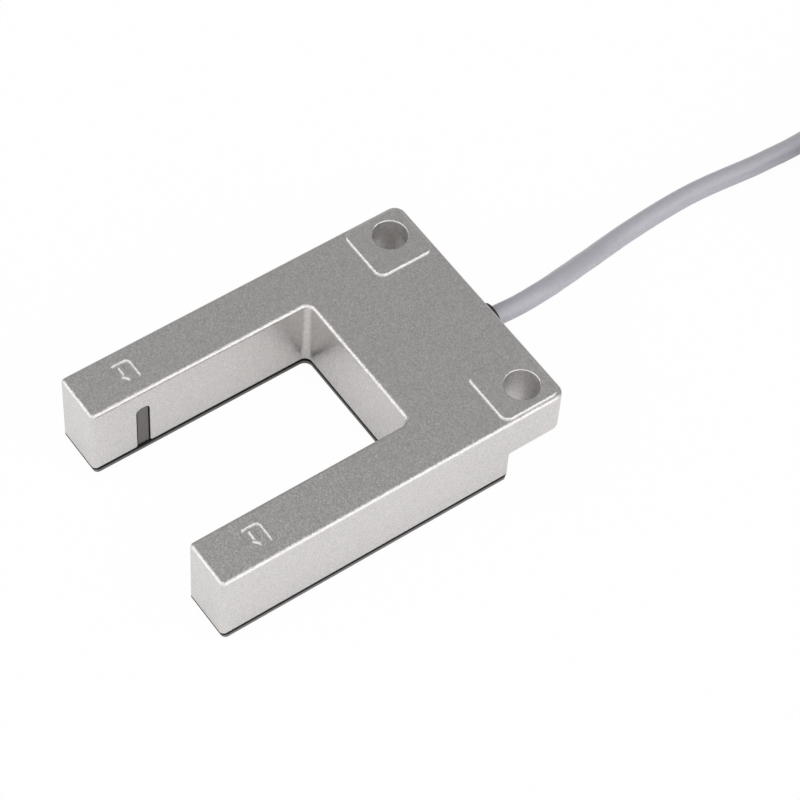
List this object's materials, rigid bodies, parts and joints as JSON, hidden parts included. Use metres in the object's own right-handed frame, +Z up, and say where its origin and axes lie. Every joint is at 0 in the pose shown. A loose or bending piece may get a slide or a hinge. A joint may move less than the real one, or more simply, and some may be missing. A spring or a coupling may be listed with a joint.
{
  "type": "fork sensor",
  "caption": "U-shaped through-beam light barrier in a cast metal housing with two mounting ears, facing windows in its arms and a fixed cable.",
  "frame": {"origin": "middle of the underside of the housing with its cover, without the cable", "axes": "+Z up out of the top face with the arrow marks, +Y from the arm tips to the cable, +X from the emitter arm to the receiver arm"},
  "size_m": [0.0809, 0.2041, 0.0171],
  "materials": {
    "housing_metal": "satin silver metallic paint on die-cast zinc",
    "seal_rubber": "matt black sealing bead",
    "cover_plastic": "fine matt dark grey moulded plastic",
    "window_plastic": "smoked infrared-pass plastic",
    "holder_plastic": "matt black moulded plastic",
    "emitter_epoxy": "clear blue-tinted epoxy",
    "receiver_epoxy": "black daylight-filter epoxy",
    "board_laminate": "green solder resist on glass laminate",
    "screw_steel": "zinc-plated steel",
    "chip_epoxy": "black moulded epoxy",
    "capacitor_resin": "ochre moulded resin",
    "ceramic": "fired tan ceramic",
    "grommet_rubber": "matt black moulded rubber",
    "sleeve_brass": "plain crimped brass",
    "cable_pvc": "satin grey PVC jacket",
    "lead_brown_pvc": "satin brown insulation",
    "lead_black_pvc": "satin black insulation",
    "lead_blue_pvc": "satin blue insulation",
    "tinned_copper": "tinned copper strands",
    "tie_plastic": "black plastic-covered wire tie"
  },
  "bodies": {
    "root": {"housing": "housing_metal", "cover_seal": "seal_rubber", "window_seals": "seal_rubber", "bottom_cover": "cover_plastic", "emitter_window": "window_plastic", "receiver_window": "window_plastic", "emitter_holder": "holder_plastic", "receiver_holder": "holder_plastic", "emitter_led": "emitter_epoxy", "receiver_phototransistor": "receiver_epoxy", "main_board": "board_laminate", "board_screws": "screw_steel", "controller_chip": "chip_epoxy", "output_transistor": "chip_epoxy", "voltage_regulator": "chip_epoxy", "protection_diode": "chip_epoxy", "chip_resistors": "chip_epoxy", "filter_capacitor": "capacitor_resin", "chip_capacitors": "ceramic", "cable_grommet": "grommet_rubber", "crimp_sleeve": "sleeve_brass", "cable_end": "cable_pvc", "cord_run": "cable_pvc", "cord_coil": "cable_pvc", "inner_lead_brown": "lead_brown_pvc", "lead_brown": "lead_brown_pvc", "inner_lead_black": "lead_black_pvc", "lead_black": "lead_black_pvc", "inner_lead_blue": "lead_blue_pvc", "lead_blue": "lead_blue_pvc", "lead_tips": "tinned_copper", "coil_ties": "tie_plastic"}
  },
  "joints": []
}
